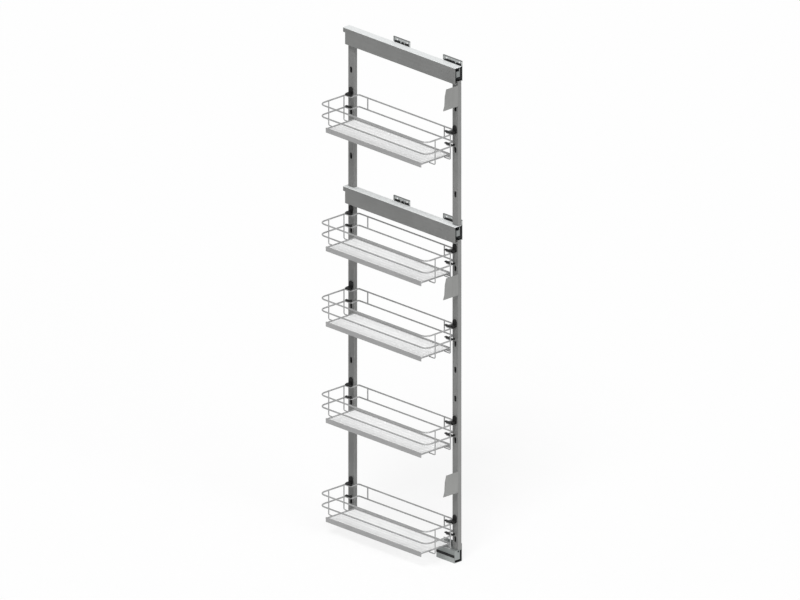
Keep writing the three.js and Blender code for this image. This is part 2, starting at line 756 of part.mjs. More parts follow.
place('guide_channel', makeGuideChannel(), zincSteel);
place('guide_liner', makeGuideLiner(), blackPlastic);
place('guide_roller', makeRoller(), greyPlastic);
place('guide_roller_pin', makeRollerPin(), zincSteel);
place('foot_plate', makeFootPlate(), zincSteel);
place('rear_upright_end_cap', makeEndCap(), blackPlastic);

// The origin lies on the wall, behind the upper front bracket, midway along it and above the beam.
const originX = (frontBracket[0] + frontBracket[1]) / 2;
unit.position.set(-originX, -wallPlane, -bracketRise / 2);

export default unit;
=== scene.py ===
"""Looks of a tall pull-out larder unit: steel frame, telescopic slides, wire baskets and roller guide.

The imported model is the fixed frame. Every piece below takes its place from that frame, gets its
own mesh and finish, and rides on the body that carries it. All lengths are metres.
"""

import json
import logging
import math
from collections.abc import Callable, Iterator, Mapping, Sequence
from contextlib import contextmanager
from dataclasses import dataclass, field, replace
from enum import Enum, StrEnum

import bmesh
import bpy
from mathutils import Matrix, Vector


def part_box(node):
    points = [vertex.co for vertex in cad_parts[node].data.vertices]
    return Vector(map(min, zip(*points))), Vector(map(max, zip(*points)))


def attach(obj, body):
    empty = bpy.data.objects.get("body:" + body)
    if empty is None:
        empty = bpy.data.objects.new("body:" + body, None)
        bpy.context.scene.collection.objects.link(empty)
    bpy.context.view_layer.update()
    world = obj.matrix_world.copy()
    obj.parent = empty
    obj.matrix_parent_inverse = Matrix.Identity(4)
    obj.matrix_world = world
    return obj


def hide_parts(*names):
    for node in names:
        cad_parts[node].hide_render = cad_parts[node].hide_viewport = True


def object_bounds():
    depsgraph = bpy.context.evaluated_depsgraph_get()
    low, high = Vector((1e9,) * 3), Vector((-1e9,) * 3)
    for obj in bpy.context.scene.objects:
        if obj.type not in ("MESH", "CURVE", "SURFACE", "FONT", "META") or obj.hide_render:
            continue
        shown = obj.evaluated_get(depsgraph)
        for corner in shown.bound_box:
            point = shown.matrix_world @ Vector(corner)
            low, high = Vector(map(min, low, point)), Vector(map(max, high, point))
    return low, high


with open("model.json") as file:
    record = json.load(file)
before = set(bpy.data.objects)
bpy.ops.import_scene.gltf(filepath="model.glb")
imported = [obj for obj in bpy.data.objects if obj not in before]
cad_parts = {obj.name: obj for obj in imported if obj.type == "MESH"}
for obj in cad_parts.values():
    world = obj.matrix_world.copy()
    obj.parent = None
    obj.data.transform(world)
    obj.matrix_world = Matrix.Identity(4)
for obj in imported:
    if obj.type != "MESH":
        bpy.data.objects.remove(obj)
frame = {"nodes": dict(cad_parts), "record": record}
CAD_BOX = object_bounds()
LOG = logging.getLogger("larder_unit")

Piece = bpy.types.Object
Triple = tuple[float, float, float]
Colour = Triple
Span = tuple[float, float]


class Slot(StrEnum):
    """The record's material slots."""

    GREY_STEEL = "grey_steel"
    PLATE_STEEL = "plate_steel"
    ZINC_STEEL = "zinc_steel"
    BLACK_STEEL = "black_steel"
    CHROME_WIRE = "chrome_wire"
    WHITE_SHELF = "white_shelf"
    BLACK_PLASTIC = "black_plastic"
    GREY_PLASTIC = "grey_plastic"


class Level(StrEnum):
    """The two beams with their slides, and the two hooks at one end of a basket."""

    UPPER = "upper"
    LOWER = "lower"


class End(StrEnum):
    """The two ends of the unit and of its baskets."""

    REAR = "rear"
    FRONT = "front"


class Element(StrEnum):
    """What edit mode selects."""

    POINT = "VERT"
    EDGE = "EDGE"
    FACE = "FACE"


class Axis(Enum):
    """The three axes of the frame."""

    X = (1.0, 0.0, 0.0)
    Y = (0.0, 1.0, 0.0)
    Z = (0.0, 0.0, 1.0)

    @property
    def unit(self) -> Vector:
        """The axis as a unit vector."""
        return Vector(self.value)


# --- shader arithmetic


class Link:
    """A node's output socket that takes part in Python arithmetic by adding Math nodes."""

    def __init__(self, book: "NodeBook", socket: bpy.types.NodeSocket) -> None:
        """Keeps the book that new Math nodes go to, and the socket that this value stands for."""
        self.book = book
        self.socket = socket

    def _math(self, operation: str, first: "Link | float", second: "Link | float") -> "Link":
        """Adds one Math node on two values, and returns its result."""
        settings = {"operation": operation}
        return self.book.value("ShaderNodeMath", settings, {0: first, 1: second}, "Value")

    def __add__(self, other: "Link | float") -> "Link":
        """self + other."""
        return self._math("ADD", self, other)

    def __radd__(self, other: float) -> "Link":
        """other + self."""
        return self._math("ADD", other, self)

    def __sub__(self, other: "Link | float") -> "Link":
        """self - other."""
        return self._math("SUBTRACT", self, other)

    def __rsub__(self, other: float) -> "Link":
        """other - self."""
        return self._math("SUBTRACT", other, self)

    def __mul__(self, other: "Link | float") -> "Link":
        """self * other."""
        return self._math("MULTIPLY", self, other)

    def __rmul__(self, other: float) -> "Link":
        """other * self."""
        return self._math("MULTIPLY", other, self)

    def __truediv__(self, other: "Link | float") -> "Link":
        """self / other."""
        return self._math("DIVIDE", self, other)

    def __rtruediv__(self, other: float) -> "Link":
        """other / self."""
        return self._math("DIVIDE", other, self)

    def fold(self) -> "Link":
        """Runs up and down between 0 and 1 as the value rises."""
        return self._math("PINGPONG", self, 1.0)

    def ramp(self, low: float, high: float) -> "Link":
        """A smooth step, which is 0 up to the low value and 1 from the high value."""
        inputs = {"Value": self, "From Min": low, "From Max": high}
        return self.book.value("ShaderNodeMapRange", {"interpolation_type": "SMOOTHSTEP"}, inputs, "Result")


@dataclass(frozen=True)
class Grain:
    """A soft noise: the size of its patches, its finer layers and its stretch along each axis."""

    size: float
    detail: float = 2.0
    stretch: Triple = (1.0, 1.0, 1.0)


class NodeBook:
    """Adds nodes to one node tree."""

    def __init__(self, tree: bpy.types.NodeTree) -> None:
        """Keeps the tree that the nodes go to, and empties it."""
        self.tree = tree
        tree.nodes.clear()

    def node(self, kind: str, settings: Mapping, inputs: Mapping) -> bpy.types.Node:
        """Adds a node.

        Args:
            kind: The node's type.
            settings: Its properties, set first.
            inputs: A value or a link for each named or numbered input socket.

        Returns:
            The node.
        """
        node = self.tree.nodes.new(kind)
        for name, setting in settings.items():
            setattr(node, name, setting)
        for key, given in inputs.items():
            if isinstance(given, Link):
                self.tree.links.new(given.socket, node.inputs[key])
            else:
                node.inputs[key].default_value = given
        return node

    def value(self, kind: str, settings: Mapping, inputs: Mapping, output: str | int) -> Link:
        """Adds a node and returns one of its outputs, by its name or number."""
        return Link(self, self.node(kind, settings, inputs).outputs[output])

    def place(self, stretch: Triple = (1.0, 1.0, 1.0)) -> Link:
        """The piece's own coordinates in metres, multiplied along each axis."""
        plain = self.value("ShaderNodeTexCoord", {}, {}, "Object")
        return self.value("ShaderNodeMapping", {}, {"Vector": plain, "Scale": stretch}, "Vector")

    def along(self, axis: Axis) -> Link:
        """A point's place along one axis of the piece."""
        return self.value("ShaderNodeSeparateXYZ", {}, {0: self.place()}, axis.name)

    def above(self, height: float, edge: float) -> Link:
        """0 below a height of the piece and 1 above it, with a soft edge between."""
        return self.along(Axis.Z).ramp(height, height + edge)

    def noise(self, grain: Grain) -> Link:
        """The values of a grain, from 0 to 1."""
        inputs = {"Vector": self.place(grain.stretch), "Scale": 1 / grain.size, "Detail": grain.detail}
        return self.value("ShaderNodeTexNoise", {}, inputs, "Fac")

    def cells(self, size: float) -> Link:
        """One random value from 0 to 1 for each cell of a crystal pattern."""
        inputs = {"Vector": self.place(), "Scale": 1 / size}
        colour = self.value("ShaderNodeTexVoronoi", {}, inputs, "Color")
        return self.value("ShaderNodeSeparateColor", {}, {0: colour}, "Red")

    def blend(self, factor: Link, low: Link | Colour, high: Link | Colour) -> Link:
        """Mixes two colours.

        Args:
            factor: 0 gives the first colour and 1 the second.
            low: The first colour.
            high: The second colour.

        Returns:
            The mixed colour.
        """
        ends = [given if isinstance(given, Link) else (*given, 1.0) for given in (low, high)]
        settings = {"data_type": "RGBA", "clamp_factor": True}
        inputs = {0: factor, 6: ends[0], 7: ends[1]}
        return self.value("ShaderNodeMix", settings, inputs, 2)

    def bump(self, height: Link, depth: float) -> Link:
        """The surface normal of a low relief, whose height goes from 0 to 1 and means a depth."""
        inputs = {"Height": height, "Distance": depth, "Strength": 1.0}
        return self.value("ShaderNodeBump", {}, inputs, "Normal")


# --- finishes


def tone(colour: Colour, factor: float) -> Colour:
    """A copy of a colour with each channel multiplied by a factor."""
    return tuple(channel * factor for channel in colour)


@dataclass(frozen=True)
class Finish:
    """A surface: its slot, colour and gloss, the clouds in its colour and its fine relief."""

    name: str
    slot: Slot
    colour: Colour
    roughness: float
    metallic: float = 0.0
    gloss: float = 0.5
    tones: Span = (0.9, 1.1)
    wear: float = 0.05
    cloud: Grain = Grain(0.05)
    relief: Grain = Grain(0.001)
    relief_depth: float = 0.00001

    def material(self) -> bpy.types.Material:
        """Makes the material, unless it is made already.

        Returns:
            The material.
        """
        made = bpy.data.materials.get(self.name)
        if made is None:
            made = bpy.data.materials.new(self.name)
            made.use_nodes = True
            self.paint(NodeBook(made.node_tree))
        return made

    def paint(self, book: NodeBook) -> None:
        """Adds the finish's nodes.

        Args:
            book: The node book of the material.
        """
        relief = book.noise(self.relief)
        mottle, mark = self.pattern(book, book.noise(self.cloud), relief)
        plain = book.blend(mottle, *[tone(self.colour, factor) for factor in self.tones])
        inputs = {
            "Base Color": self.trimmed(book, mottle, plain),
            "Roughness": self.roughness - self.wear + mark * (2 * self.wear),
            "Metallic": self.metallic,
            "Specular IOR Level": self.gloss,
            "Normal": book.bump(relief, self.relief_depth),
        }
        shader = book.value("ShaderNodeBsdfPrincipled", {}, inputs, "BSDF")
        book.node("ShaderNodeOutputMaterial", {}, {"Surface": shader})

    def pattern(self, book: NodeBook, cloud: Link, relief: Link) -> tuple[Link, Link]:
        """What varies the colour and the roughness: the clouds and the relief, unless a finish has more."""
        return cloud, relief

    def trimmed(self, book: NodeBook, mottle: Link, plain: Link) -> Link:
        """Leaves the colour as it is, unless a finish has lines or an edge of another colour."""
        return plain


@dataclass(frozen=True)
class PowderCoat(Finish):
    """Grey stoved powder on steel: a fine orange peel, slight clouds and faint rub marks along it."""

    gloss: float = 0.3
    tones: Span = (0.93, 1.07)
    wear: float = 0.06
    cloud: Grain = Grain(0.09, 3.0)
    relief: Grain = Grain(0.0016)
    relief_depth: float = 0.00004
    rub: Grain = Grain(0.006, 4.0, (1.0, 1.0, 0.06))
    rub_share: float = 0.4
    contrast: Span = (0.3, 0.7)

    def pattern(self, book: NodeBook, cloud: Link, relief: Link) -> tuple[Link, Link]:
        """Adds the rub marks to the clouds, and lets them vary the roughness."""
        rub = book.noise(self.rub)
        return (cloud * (1 - self.rub_share) + rub * self.rub_share).ramp(*self.contrast), rub


@dataclass(frozen=True)
class CappedCoat(PowderCoat):
    """The beam's powder coat, with a painted highlight that makes its top flange near white."""

    rub: Grain = Grain(0.006, 4.0, (0.06, 1.0, 1.0))
    # the near-white colour of the painted highlight on the top flange
    flange_colour: Colour = (0.86, 0.88, 0.88)
    flange_tone: float = 0.965
    flange_bottom: float = 0.0
    flange_edge: float = 0.0006

    def trimmed(self, book: NodeBook, mottle: Link, plain: Link) -> Link:
        """Paints a near-white highlight on the top flange, over the plain coat."""
        flange_highlight = book.blend(mottle, tone(self.flange_colour, self.flange_tone), self.flange_colour)
        return book.blend(book.above(self.flange_bottom, self.flange_edge), plain, flange_highlight)


@dataclass(frozen=True)
class Zinc(Finish):
    """Bright zinc on steel: small crystals, a passivated cast and fine rolling lines."""

    metallic: float = 0.85
    tones: Span = (0.92, 1.08)
    relief: Grain = Grain(0.0012, 3.0, (0.04, 1.0, 1.0))
    crystal_size: float = 0.004
    crystal_share: float = 0.5

    def pattern(self, book: NodeBook, cloud: Link, relief: Link) -> tuple[Link, Link]:
        """Adds the crystals to the cast, and lets them vary the roughness."""
        crystal = book.cells(self.crystal_size)
        return crystal * self.crystal_share + cloud * (1 - self.crystal_share), crystal


@dataclass(frozen=True)
class RimmedZinc(Zinc):
    """The wall brackets' zinc, darker along their tops."""

    rim_bottom: float = 0.0
    rim_edge: float = 0.0008
    rim_tone: float = 0.3

    def trimmed(self, book: NodeBook, mottle: Link, plain: Link) -> Link:
        """Darkens the zinc along the bracket's top."""
        rim = book.above(self.rim_bottom, self.rim_edge)
        return book.blend(rim, plain, tone(self.colour, self.rim_tone))


@dataclass(frozen=True)
class BlackSteel(Finish):
    """Blackened steel: nearly black, oiled, with faint drawing lines along it."""

    metallic: float = 0.3
    gloss: float = 0.3
    tones: Span = (0.7, 1.5)
    wear: float = 0.08
    cloud: Grain = Grain(0.03, 3.0)
    relief: Grain = Grain(0.0015, 3.0, (0.03, 1.0, 1.0))


@dataclass(frozen=True)
class PlatedWire(Finish):
    """Bright plated wire with fine drawing marks and slight stains."""

    metallic: float = 0.4
    tones: Span = (0.9, 1.08)
    cloud: Grain = Grain(0.03, 3.0)
    relief: Grain = Grain(0.0009)
    relief_depth: float = 0.000008
    contrast: Span = (0.25, 0.75)

    def pattern(self, book: NodeBook, cloud: Link, relief: Link) -> tuple[Link, Link]:
        """Lets the stains vary the colour, with more contrast, and the roughness."""
        return cloud.ramp(*self.contrast), cloud


@dataclass(frozen=True)
class Board(Finish):
    """White coated board with faint lines along its ribs and a fine grain."""

    gloss: float = 0.12
    tones: Span = (0.98, 1.0)
    cloud: Grain = Grain(0.05, 3.0, (0.3, 1.0, 1.0))
    relief: Grain = Grain(0.0012)
    relief_depth: float = 0.00002
    rib_pitch: float = 0.0174
    rib_start: float = 0.0
    line_rise: Span = (0.62, 0.95)
    line_tone: float = 0.96

    def trimmed(self, book: NodeBook, mottle: Link, plain: Link) -> Link:
        """Draws the faint line between each two ribs."""
        phase = (book.along(Axis.Y) - self.rib_start) / (self.rib_pitch / 2)
        return book.blend(phase.fold().ramp(*self.line_rise), plain, tone(self.colour, self.line_tone))


@dataclass(frozen=True)
class MouldedPlastic(Finish):
    """Moulded plastic with a fine spark-eroded grain."""

    gloss: float = 0.2
    tones: Span = (0.85, 1.2)
    wear: float = 0.06
    cloud: Grain = Grain(0.015)
    relief: Grain = Grain(0.0007)
    relief_depth: float = 0.00002


POWDER_GREY = PowderCoat("powder_grey", Slot.GREY_STEEL, (0.209, 0.211, 0.207), 0.5)
# the beam's coat paints a highlight on its top flange
HIGHLIT_BEAM_COAT = CappedCoat("highlit_beam_coat", POWDER_GREY.slot, POWDER_GREY.colour, POWDER_GREY.roughness)
DOOR_PLATE_GREY = PowderCoat("door_plate_grey", Slot.PLATE_STEEL, (0.236, 0.238, 0.232), 0.46)
TRAY_GREY = PowderCoat("tray_grey", Slot.PLATE_STEEL, (0.355, 0.355, 0.355), 0.45, rub=HIGHLIT_BEAM_COAT.rub)
BRIGHT_ZINC = Zinc("bright_zinc", Slot.ZINC_STEEL, (0.5, 0.515, 0.51), 0.38)
BRACKET_ZINC = RimmedZinc("bracket_zinc", BRIGHT_ZINC.slot, BRIGHT_ZINC.colour, BRIGHT_ZINC.roughness)
DULL_ZINC = Zinc("dull_zinc", Slot.ZINC_STEEL, (0.2, 0.213, 0.21), 0.42, metallic=0.3)
GUIDE_ZINC = replace(DULL_ZINC, name="guide_zinc", colour=(0.35, 0.367, 0.36))
# a lighter copy of the dull zinc: painted light that offsets the shade on the foot plate under the baskets
LIT_FOOT_ZINC = replace(DULL_ZINC, name="lit_foot_zinc", colour=(0.26, 0.277, 0.272))
SLIDE_BLACK = BlackSteel("slide_black", Slot.BLACK_STEEL, (0.014, 0.016, 0.017), 0.4)
BASKET_WIRE = PlatedWire("basket_wire", Slot.CHROME_WIRE, (0.34, 0.342, 0.342), 0.32)
WHITE_BOARD = Board("white_board", Slot.WHITE_SHELF, (0.94, 0.941, 0.941), 0.5)
HOOK_BLACK = MouldedPlastic("hook_black", Slot.BLACK_PLASTIC, (0.011, 0.011, 0.011), 0.5)
ROLLER_GREY = MouldedPlastic("roller_grey", Slot.GREY_PLASTIC, (0.2, 0.21, 0.21), 0.45, gloss=0.4)


# --- bench work


class Bench:
    """Blender's operators, used as one models by hand."""

    FACING = 0.9  # the least share of a way in the normal of a face that looks that way
    HEAD_SIDES = 20
    HEAD_ROUNDING = 0.45  # the part of a round head's height that its rim takes
    FINE_STEPS = 3  # the steps of a rounding that shows
    SHARP = math.radians(30)  # sharper edges are rounded
    LARGE_FACES_FIRST = 100  # how much a large face's normal outweighs a small one's

    @staticmethod
    def only(*pieces: Piece) -> None:
        """Selects some objects alone and makes the first the active one.

        Args:
            pieces: The objects.
        """
        bpy.ops.object.select_all(action="DESELECT")
        for piece in pieces:
            piece.select_set(True)
        bpy.context.view_layer.objects.active = pieces[0]

    @staticmethod
    def taken(name: str) -> Piece:
        """Names the object that was just added.

        Args:
            name: Its new name.

        Returns:
            The object.
        """
        piece = bpy.context.active_object
        piece.name = name
        piece.data.name = name
        return piece

    @staticmethod
    def add(name: str, primitive: Callable[..., object], **settings: object) -> Piece:
        """Adds a primitive.

        Args:
            name: The object's name.
            primitive: The operator that adds it.
            settings: The operator's settings, with its size and place.

        Returns:
            The object, with its place in its mesh.
        """
        bpy.ops.object.select_all(action="DESELECT")
        primitive(**settings)
        piece = Bench.taken(name)
        bpy.ops.object.transform_apply()
        return piece

    @staticmethod
    @contextmanager
    def editing(piece: Piece, element: Element = Element.FACE) -> Iterator[bmesh.types.BMesh]:
        """Opens an object in edit mode with nothing selected, and closes it again.

        Args:
            piece: The object.
            element: What is selected in it.

        Yields:
            The edit mesh, in which elements are picked.
        """
        Bench.only(piece)
        bpy.ops.object.mode_set(mode="EDIT")
        bpy.ops.mesh.select_mode(type=element.value)
        bpy.ops.mesh.select_all(action="DESELECT")
        try:
            yield bmesh.from_edit_mesh(piece.data)
        finally:
            bpy.ops.object.mode_set(mode="OBJECT")

    @staticmethod
    def pick(
        piece: Piece, mesh: bmesh.types.BMesh, way: Vector,
        where: Callable[[Vector], bool] = lambda middle: True,
    ) -> None:
        """Selects faces of an edit mesh that look one way.

        Args:
            piece: The object in edit mode.
            mesh: Its edit mesh.
            way: The way, as a unit vector.
            where: Says from a face's middle whether it is picked.
        """
        for face in mesh.faces:
            if face.normal.dot(way) > Bench.FACING and where(face.calc_center_median()):
                face.select_set(True)
        bmesh.update_edit_mesh(piece.data)

    @staticmethod
    def pull(piece: Piece, way: Vector, length: float, where: Callable[[Vector], bool]) -> None:
        """Pulls some of the faces that look one way out of a piece.

        Args:
            piece: The object.
            way: The way, as a unit vector.
            length: How far they are pulled.
            where: Says from a face's middle whether it is pulled.
        """
        with Bench.editing(piece) as mesh:
            Bench.pick(piece, mesh, way, where)
            bpy.ops.mesh.extrude_region_move(TRANSFORM_OT_translate={"value": way * length})

    @staticmethod
    def slice(piece: Piece, axis: Axis, places: Sequence[float]) -> None:
        """Adds edges round a piece where flat planes cross it.

        Args:
            piece: The object.
            axis: The axis that the planes stand across.
            places: Where each plane crosses the axis.
        """
        for place in places:
            with Bench.editing(piece):
                bpy.ops.mesh.select_all(action="SELECT")
                bpy.ops.mesh.bisect(plane_co=axis.unit * place, plane_no=axis.unit)

    @staticmethod
    def modify(piece: Piece, kind: str, **settings: object) -> None:
        """Adds a modifier and applies it.

        Args:
            piece: The object.
            kind: The modifier's type.
            settings: Its properties.
        """
        Bench.only(piece)
        modifier = piece.modifiers.new(kind.lower(), kind)
        for name, setting in settings.items():
            setattr(modifier, name, setting)
        bpy.ops.object.modifier_apply(modifier=modifier.name)

    @staticmethod
    def round_edges(piece: Piece, width: float, segments: int = 2) -> None:
        """Rounds all sharp edges and shades the roundings smoothly, while the large faces stay flat.

        Args:
            piece: The object.
            width: How far the rounding reaches.
            segments: How many steps it has.
        """
        Bench.modify(
            piece, "BEVEL", width=width, segments=segments, limit_method="ANGLE",
            angle_limit=Bench.SHARP, use_clamp_overlap=True, harden_normals=False,
        )
        Bench.smooth(piece)
        weight = Bench.LARGE_FACES_FIRST
        Bench.modify(piece, "WEIGHTED_NORMAL", mode="FACE_AREA", weight=weight, keep_sharp=True)

    @staticmethod
    def smooth(piece: Piece, degrees: float = 35.0) -> None:
        """Shades a piece smoothly, but not across edges sharper than an angle."""
        Bench.only(piece)
        bpy.ops.object.shade_smooth_by_angle(angle=math.radians(degrees))

    @staticmethod
    def join(pieces: Sequence[Piece], name: str) -> Piece:
        """Joins objects into one.

        Args:
            pieces: The objects.
            name: The new object's name.

        Returns:
            The one object.
        """
        Bench.only(*pieces)
        if len(pieces) > 1:
            bpy.ops.object.join()
        return Bench.taken(name)

    @staticmethod
    def copy(piece: Piece, name: str, shift: Vector) -> Piece:
        """Copies an object with its own mesh and moves the copy's mesh.

        Args:
            piece: The object.
            name: The copy's name.
            shift: How far the copy lies from the object.

        Returns:
            The copy.
        """
        Bench.only(piece)
        bpy.ops.object.duplicate(linked=False)
        twin = Bench.taken(name)
        for key in list(twin.keys()):
            del twin[key]
        twin.parent = None
        twin.hide_render = False
        twin.hide_viewport = False
        twin.matrix_world = Matrix.Translation(shift)
        bpy.ops.object.transform_apply()
        return twin

    @staticmethod
    def repeat(piece: Piece, spots: Sequence[Triple]) -> list[Piece]:
        """Copies a piece from the first of some spots to all the others, and returns all of them."""
        shifts = [Vector(spot) - Vector(spots[0]) for spot in spots[1:]]
        return [piece, *[Bench.copy(piece, piece.name, shift) for shift in shifts]]

    @staticmethod
    def block(name: str, low: Triple, high: Triple) -> Piece:
        """Adds a block between its lowest and its highest corner."""
        middle, size = (Vector(low) + Vector(high)) / 2, Vector(high) - Vector(low)
        return Bench.add(name, bpy.ops.mesh.primitive_cube_add, size=1.0, location=middle, scale=size)

    @staticmethod
    def buttons(name: str, spots: Sequence[Triple], radius: float, height: float, axis: Axis) -> Piece:
        """Adds low round heads with rounded rims, as on rivets or pan-head screws.

        Args:
            name: The name of the one object that they make.
            spots: The middle of each head.
            radius: Their radius.
            height: Their height.
            axis: The axis that they lie along.

        Returns:
            The heads.
        """
        head = Bench.add(
            "head", bpy.ops.mesh.primitive_cylinder_add, vertices=Bench.HEAD_SIDES, radius=radius,
            depth=height, location=spots[0], rotation=axis.unit.to_track_quat("Z", "Y").to_euler(),
        )
        Bench.round_edges(head, height * Bench.HEAD_ROUNDING, Bench.FINE_STEPS)
        return Bench.join(Bench.repeat(head, spots), name)


@dataclass
class Fitter:
    """Hangs finished pieces on the frame's bodies."""

    bodies: Mapping[str, Sequence[str]]
    count: int = 0
    same_point: float = 0.000005
    same_plane: float = math.radians(1)

    def hang(self, piece: Piece, body: str, finish: Finish) -> None:
        """Dresses a piece and lets it ride on a body.

        Args:
            piece: The piece.
            body: The body's name.
            finish: The piece's finish.
        """
        piece.data.materials.clear()
        piece.data.materials.append(finish.material())
        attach(piece, body)
        self.count += 1
        LOG.info("%s rides on %s", piece.name, body)

    def stand_for(self, piece: Piece, node: str, finish: Finish) -> None:
        """Hangs a piece in the place of a node of the frame.

        Args:
            piece: The piece.
            node: The node that it replaces.
            finish: The piece's finish.
        """
        body = next(name for name, members in self.bodies.items() if node in members)
        self.hang(piece, body, finish)
        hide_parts(node)

    def rounded(self, node: str, suffix: str, finish: Finish, edge: float) -> None:
        """Gives a node of the frame, whose shape is right, the rounded folds and edges of the real part.

        Args:
            node: The node.
            suffix: What the rounded part's name adds to the node's.
            finish: The part's finish.
            edge: How far the roundings reach.
        """
        part = Bench.copy(frame["nodes"][node], f"{node}_{suffix}", Vector())
        with Bench.editing(part, Element.POINT):
            bpy.ops.mesh.select_all(action="SELECT")
            bpy.ops.mesh.remove_doubles(threshold=self.same_point)
            bpy.ops.mesh.dissolve_limited(angle_limit=self.same_plane)
        Bench.round_edges(part, edge)
        self.stand_for(part, node, finish)


# --- wire work


@dataclass(frozen=True)
class Corner:
    """A corner of a wire's route, and the radius that the wire is bent to there."""

    x: float
    y: float
    z: float
    radius: float = 0.0

    @property
    def at(self) -> Vector:
        """The corner's place."""
        return Vector((self.x, self.y, self.z))


@dataclass
class WireBender:
    """Feeds round wire through straight runs and bends."""

    radius: float
    sides: int = 12
    bend_steps: int = 7
    same_point: float = 0.00001
    smooth_degrees: float = 50.0

    def draw(self, name: str, route: Sequence[Corner], closed: bool = False) -> Piece:
        """Draws one wire.

        Args:
            name: The object's name.
            route: Its corners, from end to end.
            closed: Whether its two ends meet, as in a ring.

        Returns:
            The wire.
        """
        heading = (route[1].at - route[0].at).normalized()
        piece = Bench.add(
            name, bpy.ops.mesh.primitive_circle_add, vertices=self.sides, radius=self.radius,
            fill_type="NOTHING" if closed else "NGON", location=route[0].at,
            rotation=heading.to_track_quat("Z", "Y").to_euler(),
        )
        with Bench.editing(piece, Element.EDGE if closed else Element.FACE):
            bpy.ops.mesh.select_all(action="SELECT")
            reached = route[0].at
            for before, corner, after in zip(route, route[1:], route[2:]):
                reached = self._turn(reached, before.at, corner, after.at)
            self._feed(route[-1].at - reached)
        with Bench.editing(piece, Element.POINT):
            bpy.ops.mesh.select_all(action="SELECT")
            bpy.ops.mesh.remove_doubles(threshold=self.same_point)
            bpy.ops.mesh.normals_make_consistent(inside=False)
        Bench.smooth(piece, self.smooth_degrees)
        return piece

    def straight(self, start: Triple, end: Triple) -> Piece:
        """Draws a straight wire between two points."""
        return self.draw("wire", [Corner(*start), Corner(*end)])

    @staticmethod
    def _feed(run: Vector) -> None:
        """Pushes the wire's end straight on."""
        if run.length > 0:
            bpy.ops.mesh.extrude_region_move(TRANSFORM_OT_translate={"value": run})

    def _turn(self, reached: Vector, before: Vector, corner: Corner, after: Vector) -> Vector:
        """Feeds the wire up to a corner and bends it there.

        Args:
            reached: Where the wire's end is.
            before: The corner before.
            corner: The corner.
            after: The corner after.

        Returns:
            Where the bend ends.
        """
        arriving = (corner.at - before).normalized()
        leaving = (after - corner.at).normalized()
        angle = arriving.angle(leaving)
        reach = corner.radius * math.tan(angle / 2)
        start = corner.at - arriving * reach
        self._feed(start - reached)
        axis = arriving.cross(leaving).normalized()
        centre = start + axis.cross(arriving) * corner.radius
        bpy.ops.mesh.spin(steps=self.bend_steps, angle=-angle, center=centre, axis=axis)
        return corner.at + leaving * reach


